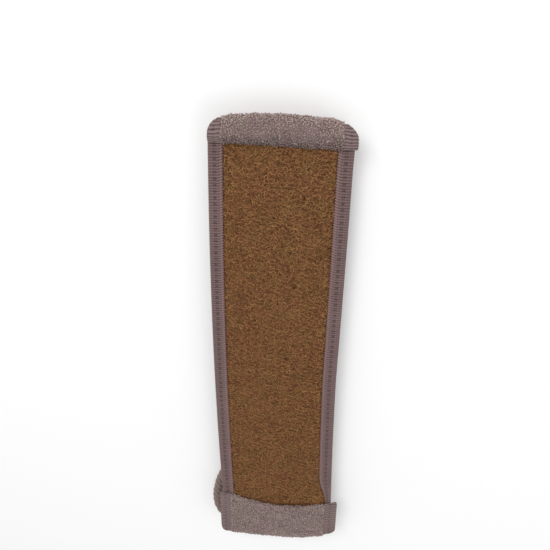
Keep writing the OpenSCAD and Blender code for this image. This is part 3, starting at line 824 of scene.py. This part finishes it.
def wrap_cuff(end, side, sizes, material):
    """Tape over one bound end of a casing.

    Its middle line runs over the roll as an arc, along the front layer, and round that layer's edge as a half circle.
    Across, it is a flat, a quarter circle and a short fall over the end, whose place follows the casing's rounded
    corner in plan. Ribs run across the tape, so they stand along the middle line.
    """
    reach = ROLL_Y - abs(FRONT_EDGE[end])
    thick = sizes.tape_thickness
    shoulder = HEM_TOP - ROLL_R
    radius = CUFF_TOP - shoulder
    edge = (CUFF_TOP - PAD_TOP) / 2
    arc = np.linspace(0.85 * np.pi, np.pi / 2, 60)
    tip = np.linspace(np.pi / 2, -np.pi / 2, 24)[1:]
    flat = np.linspace(0, reach - edge, 60)[1:]
    line = np.concatenate([
        np.stack([radius * np.cos(arc), shoulder + radius * np.sin(arc)], axis=1),
        np.stack([flat, np.full(len(flat), CUFF_TOP)], axis=1),
        np.stack([reach - edge + edge * np.cos(tip), CUFF_TOP - edge + edge * np.sin(tip)], axis=1)])
    line, along = evenly(line, sizes.rib_pitch / 8)
    normal = left_of(line)

    corner = CORNER_R
    past = np.clip(corner - ROLL_R - line[:, 0], 0, corner)
    wide = CUFF_OUT - corner + np.sqrt(corner ** 2 - past ** 2) - CUFF_IN
    fall = (CUFF_TOP - PAD_TOP) * (1 - 0.55 * ease((line[:, 0] - reach + 3 * edge) / (2 * edge)))
    t = np.linspace(0, 1, 20)
    quarter = np.linspace(np.pi / 2, 0, 7)[1:]
    bend = 1.5 * MM
    x = np.concatenate([t[None, :] * (wide - bend)[:, None],
                        (wide - bend)[:, None] + bend * np.cos(quarter)[None, :],
                        np.repeat(wide[:, None], 4, axis=1)], axis=1)
    down = np.linspace(0.25, 1, 4)[None, :]
    d = np.concatenate([np.zeros((len(line), len(t))),
                        np.repeat(bend * (np.sin(quarter) - 1)[None, :], len(line), axis=0),
                        -bend - down * (fall - bend)[:, None]], axis=1)
    seam = x - wide[:, None] / 2
    bar = ribs(along[:, None], 0.5 * np.abs(seam) / (CUFF_OUT - CUFF_IN), sizes)
    near = np.exp(-(seam / SEAM_HALF) ** 2) * (d > -bend / 2)
    row = holes(along[:, None], -0.01, along[-1] + 0.01, sizes)
    relief = sizes.rib_height * (bar - 0.5) - near * (SEAM_DEPTH + 0.4 * MM * row)
    out_x = x + np.where(d < -bend, relief, 0) - 0.5 * MM * bar * (x == 0)
    out_d = d + np.where(d < -bend, 0, relief)
    in_x = np.stack([wide - thick, wide - thick, np.zeros(len(line))], axis=1)
    in_d = np.stack([-fall, np.full(len(line), -thick), np.full(len(line), -thick)], axis=1)
    x, d = np.concatenate([out_x, in_x], axis=1), np.concatenate([out_d, in_d], axis=1)
    inward = line[:, 0, None] + normal[:, 0, None] * d
    height = line[:, 1, None] + normal[:, 1, None] * d
    rows = hem_place(end, SIDES[side] * (CUFF_IN + x), inward, height)
    # Painted shade: the cuff's tape is darker in the lines between its ribs, along the sunk sewing line and in its
    # holes.
    tint = np.clip(0.85 * bar - 0.08 * near - 0.3 * near * row, 0, 1)
    name = f"{end}_{side}_cuff"
    carry(name + "_tape", rows, material, tint, name)


def arch_threads(name, start, stop, lift, sizes, material, node):
    """Stitches: each thread is a low sine arch between two holes, from all starts to all stops at once."""
    t = np.linspace(0, 1, 7)[None, :, None]
    paths = start[:, None, :] + (stop - start)[:, None, :] * t + lift[:, None, :] * np.sin(np.pi * t)
    points, faces = tubes(paths, sizes.thread_radius, THREAD_SIDES, unit(lift)[:, None, :])
    # Painted shade: each stitch is lighter at the top of its arch and darker at its ends, where it sinks into the
    # holes.
    tint = np.tile(np.repeat(0.3 + 0.6 * np.sin(np.pi * t[0, :, 0]), THREAD_SIDES), len(paths))
    put(name, points, faces, "strap", material, tint, [node])


def row_places(low, high, sizes):
    """Middles of the stitches in a row, centred between its ends."""
    number = gaps(low, high, sizes)
    return (low + high) / 2 + (np.arange(number + 1) - number / 2) * sizes.stitch_pitch


def sew_bindings(sizes, material):
    """Rows of stitches in the tapes' sunk lines, on the face and on the back."""
    half = sizes.stitch_length / 2
    for name, side in SIDES.items():
        rows = []
        for z, sign, low, high in ((PAD_TOP, 1, FRONT_EDGE["bottom"], FRONT_EDGE["top"]),
                                   (PAD_LOW, -1, -BACK_EDGE, BACK_EDGE)):
            y = row_places(low + 3 * MM, high - 3 * MM, sizes)
            base = spots(side * SEAM_X, y, z - sign * 0.85 * MM)
            rows.append((base, np.broadcast_to([0, 0, sign * 0.6 * MM], base.shape)))
        base, lift = (np.concatenate(part) for part in zip(*rows))
        arch_threads(f"{name}_tape_stitches", lay_pad(base - [0, half, 0]), lay_pad(base + [0, half, 0]), lift, sizes,
                     material, f"{name}_binding_stitches")


def sew_hems(sizes, material):
    """Rows of stitches across the casings' front layers and back layers, sunk in the pile."""
    half = sizes.stitch_length / 2
    inset = sizes.stitch_pitch
    for end in ("top", "bottom"):
        rows = [(inward, HEM_TOP, 1, CUFF_IN - inset) for inward in HEM_ROWS[end]]
        rows.append((BACK_ROW, PAD_LOW - 3.4 * MM, -1, CHANNEL_X - inset))
        bases, lifts = [], []
        for inward, height, sign, wide in rows:
            base = hem_place(end, row_places(-wide, wide, sizes), inward, height - sign * 1.8 * MM)
            bases.append(base)
            lifts.append(np.broadcast_to([0, 0, sign * 0.7 * MM], base.shape))
        base, lift = np.concatenate(bases), np.concatenate(lifts)
        arch_threads(f"{end}_casing_stitches", base - [half, 0, 0], base + [half, 0, 0], lift, sizes, material,
                     f"{end}_hem_stitches")


def mesh_arrays(mesh):
    """A mesh's points and their normals as arrays."""
    points = np.empty(3 * len(mesh.vertices))
    normals = np.empty(3 * len(mesh.vertices))
    mesh.vertices.foreach_get("co", points)
    mesh.vertices.foreach_get("normal", normals)
    return points.reshape(-1, 3), normals.reshape(-1, 3)


def bake_modifiers(piece):
    """Puts what a piece's modifiers make of it into its mesh, and takes them off."""
    graph = bpy.context.evaluated_depsgraph_get()
    graph.update()
    made = bpy.data.meshes.new_from_object(piece.evaluated_get(graph))
    piece.modifiers.clear()
    piece.data = made


def puff_casing(end, sizes, finish):
    """A terry casing: its solid, remeshed and drawn in, then swollen as cloth between its stitches and bound ends.

    The channel is opened again as a cylinder that clears the rope. Points near it, the bound ends and the stitch rows
    are held. The swelling is capped, and then the surface waves along its normals by a noise of two scales, before
    loops stand on all that shows of it. Where the casing overhangs the pad, what hangs beside the pad is drawn up to
    the front layer. The shallow hem's loops are lighter at its outer end and evenly darker towards its free edge, as
    painted light and painted shade.
    """
    source = frame["nodes"][end + "_casing"]
    piece = bpy.data.objects.new(end + "_casing_terry", source.data.copy())
    bpy.context.scene.collection.objects.link(piece)
    weld = piece.modifiers.new("weld", "WELD")
    weld.merge_threshold = 0.00001
    bake_modifiers(piece)
    voxels = piece.modifiers.new("voxels", "REMESH")
    voxels.mode = "VOXEL"
    voxels.voxel_size = CELL
    smooth = piece.modifiers.new("smooth", "SMOOTH")
    smooth.iterations = 3
    bake_modifiers(piece)

    points, normals = mesh_arrays(piece.data)
    sign = ENDS[end]
    across, inward = points[:, 0], ROLL_Y - sign * points[:, 1]
    from_axis = np.hypot(inward, points[:, 2] - ROLL_Z)
    wide = 5.4 * MM + 2.2 * MM * (np.abs(across) > CHANNEL_X - 8 * MM)
    in_bore = (from_axis < wide) & (np.abs(across) < CHANNEL_X + 1 * MM)
    clear = np.where(in_bore, np.maximum(BORE_R / np.maximum(from_axis, 1e-9), 1), 1)
    points[:, 1] = sign * (ROLL_Y - inward * clear)
    points[:, 2] = ROLL_Z + (points[:, 2] - ROLL_Z) * clear
    bound = np.abs(across) > CUFF_IN - 2 * MM
    rows = np.min([np.abs(inward - row) for row in HEM_ROWS[end]], axis=0)
    front = points[:, 2] > PAD_TOP + 1 * MM
    seam = front * np.exp(-(rows / HEM_SEAM_HALF) ** 2)
    draw = np.where(in_bore | bound, 0.0, DRAW_IN)
    points = points - normals * draw[:, None]
    piece.data.vertices.foreach_set("co", points.ravel())
    held = piece.vertex_groups.new(name="held")
    fixed = np.flatnonzero(in_bore | bound | (seam > 0.7))
    held.add(fixed.tolist(), 1.0, "REPLACE")
    swell_as_cloth(piece, held.name)
    points, normals = mesh_arrays(piece.data)
    loose = np.where(in_bore | bound, 0.0, 1.0)
    wave = 0.30 * ripple(points[:, 0], points[:, 1], 0.014, SEED + 7) + 0.22 * ripple(
        points[:, 0], inward + points[:, 2], 0.005, SEED + 8)
    points = points + normals * (loose * (wave * MM - HEM_SEAM_DEPTH * seam))[:, None]
    beside = (across > PAD_PLACE[0] + PAD_X - 0.5 * MM) & (inward > -1 * MM)
    under = PAD_TOP + 0.2 * MM - 9 * MM * np.clip((3 * MM - inward) / (4 * MM), 0, 1)
    points[:, 2] = np.maximum(points[:, 2], np.where(beside, under, 0.0))
    points = hem_place(end, points[:, 0], ROLL_Y - sign * points[:, 1], points[:, 2])
    points[:, 2] = np.maximum(points[:, 2], 0.25 * MM)
    piece.data.vertices.foreach_set("co", points.ravel())
    dress(piece, "strap", finish["terry_pile"], np.full(len(points), GROUND_TINT), [end + "_casing"])

    points, normals = mesh_arrays(piece.data)
    out = points + 1.5 * MM * normals
    in_pad = (np.abs(out[:, 0] - PAD_PLACE[0]) < PAD_X) & (np.abs(out[:, 1]) < PAD_END + 1 * MM)
    in_pad &= (out[:, 2] > PAD_LOW - 1 * MM) & (out[:, 2] < PAD_TOP + 0.5 * MM)
    in_way = (np.abs(across) > CHANNEL_X - 2.5 * MM) & (inward > 3 * MM - ROLL_R)
    in_way &= (out[:, 2] > 5 * MM) & (out[:, 2] < HEM_TOP - 3 * MM)
    shown = (np.abs(across) < CUFF_IN - 0.3 * MM) & ~in_bore & ~in_pad & ~in_way
    rng = np.random.default_rng(SEED + 9 + sign)
    base = points + rng.uniform(-0.5, 0.5, points.shape) * MM - 0.2 * MM * normals
    tall = sizes.loop_height * (1 - 0.1 * seam)[:, None, None]
    # Painted light and painted shade: the shallow hem's loops are lighter at its outer end and darker towards its free
    # edge. The deep hem's loops keep one even tint.
    painted_light_to_shade = np.clip((inward + 8 * MM) / (18 * MM), 0, 1) if end == "top" else np.full(len(points), 0.25)
    shade = (0.46 - 0.62 * painted_light_to_shade)[:, None]
    for name, half in (("left", shown & (across < 0)), ("right", shown & (across >= 0))):
        raise_pile(f"{end}_casing_pile_{name}", base[half], normals[half], tall[half], shade[half], sizes, finish, rng)


def swell_as_cloth(piece, held):
    """Blows a closed mesh up as cloth, and moves each point the way it went, but no further than the most swell."""
    start, _ = mesh_arrays(piece.data)
    cloth = piece.modifiers.new("cloth", "CLOTH")
    cloth.settings.use_pressure = True
    cloth.settings.uniform_pressure_force = PRESSURE
    cloth.settings.vertex_group_mass = held
    cloth.settings.effector_weights.gravity = 0
    cloth.settings.tension_stiffness = STIFFNESS
    cloth.settings.compression_stiffness = STIFFNESS
    cloth.point_cache.frame_start = 1
    cloth.point_cache.frame_end = FRAMES
    scene = bpy.context.scene
    for step in range(1, FRAMES + 1):
        scene.frame_set(step)
    bake_modifiers(piece)
    scene.frame_set(1)
    end, _ = mesh_arrays(piece.data)
    move = end - start
    far = np.linalg.norm(move, axis=1, keepdims=True)
    end = start + move * np.minimum(1, MOST_SWELL / np.maximum(far, 1e-9))
    piece.data.vertices.foreach_set("co", end.ravel())


def kit(context):
    """The sizes that a step works to, and its finishes."""
    return context.scene.scrubber_sizes, finishes(context.scene.scrubber_colours)


class SCRUBBER_OT_stage(bpy.types.Operator):
    """Set the camera, the lights and the floor"""

    bl_idname = "scrubber.stage"
    bl_label = "Stage"

    def execute(self, context):
        set_stage(context.scene.scrubber_colours)
        return {"FINISHED"}


class SCRUBBER_OT_ropes(bpy.types.Operator):
    """Lay the two rope handles"""

    bl_idname = "scrubber.ropes"
    bl_label = "Rope handles"

    def execute(self, context):
        sizes, finish = kit(context)
        for end in ENDS:
            run_rope(end, sizes, finish["cotton_rope"], finish["waxed_thread"])
        return {"FINISHED"}


class SCRUBBER_OT_loofah(bpy.types.Operator):
    """Lay the loofah face and its fibres"""

    bl_idname = "scrubber.loofah"
    bl_label = "Loofah face"

    def execute(self, context):
        sizes, finish = kit(context)
        lay_loofah(sizes, finish["loofah_fibre"])
        return {"FINISHED"}


class SCRUBBER_OT_layers(bpy.types.Operator):
    """Lay the foam and the terry back"""

    bl_idname = "scrubber.layers"
    bl_label = "Foam and terry back"

    def execute(self, context):
        stack_layers(*kit(context))
        return {"FINISHED"}


class SCRUBBER_OT_bindings(bpy.types.Operator):
    """Fold the ribbed tape round both edges of the pad"""

    bl_idname = "scrubber.bindings"
    bl_label = "Side bindings"

    def execute(self, context):
        sizes, finish = kit(context)
        for side in SIDES:
            bind_edge(side, sizes, finish["ribbed_tape"])
        return {"FINISHED"}


class SCRUBBER_OT_casings(bpy.types.Operator):
    """Swell the two terry casings"""

    bl_idname = "scrubber.casings"
    bl_label = "Casings"

    def execute(self, context):
        for end in ENDS:
            puff_casing(end, *kit(context))
        return {"FINISHED"}


class SCRUBBER_OT_cuffs(bpy.types.Operator):
    """Wrap the casings' ends with ribbed tape"""

    bl_idname = "scrubber.cuffs"
    bl_label = "Cuffs"

    def execute(self, context):
        sizes, finish = kit(context)
        for end in ENDS:
            for side in SIDES:
                wrap_cuff(end, side, sizes, finish["cuff_tape"])
        return {"FINISHED"}


class SCRUBBER_OT_stitches(bpy.types.Operator):
    """Sew the bindings and the casings"""

    bl_idname = "scrubber.stitches"
    bl_label = "Stitches"

    def execute(self, context):
        sizes, finish = kit(context)
        sew_bindings(sizes, finish["sewing_thread"])
        sew_hems(sizes, finish["sewing_thread"])
        return {"FINISHED"}


STEPS = ("stage", "ropes", "loofah", "layers", "bindings", "casings", "cuffs", "stitches")


class SCRUBBER_PT_panel(bpy.types.Panel):
    """Sizes, colours and steps of the back scrubber"""

    bl_idname = "SCRUBBER_PT_panel"
    bl_label = "Back scrubber"
    bl_space_type = "VIEW_3D"
    bl_region_type = "UI"
    bl_category = "Scrubber"

    def draw(self, context):
        layout = self.layout
        for group in (context.scene.scrubber_sizes, context.scene.scrubber_colours):
            for name in group.__annotations__:
                layout.prop(group, name)
        for step in STEPS:
            layout.operator("scrubber." + step)


CLASSES = (
    ScrubberSizes, ScrubberColours, SCRUBBER_OT_stage, SCRUBBER_OT_ropes, SCRUBBER_OT_loofah, SCRUBBER_OT_layers,
    SCRUBBER_OT_bindings, SCRUBBER_OT_casings, SCRUBBER_OT_cuffs, SCRUBBER_OT_stitches, SCRUBBER_PT_panel,
)


def register():
    for cls in CLASSES:
        bpy.utils.register_class(cls)
    bpy.types.Scene.scrubber_sizes = PointerProperty(type=ScrubberSizes)
    bpy.types.Scene.scrubber_colours = PointerProperty(type=ScrubberColours)


def unregister():
    del bpy.types.Scene.scrubber_colours
    del bpy.types.Scene.scrubber_sizes
    for cls in reversed(CLASSES):
        bpy.utils.unregister_class(cls)


def main():
    register()
    for step in STEPS:
        getattr(bpy.ops.scrubber, step)()


if __name__ == "__main__":
    main()
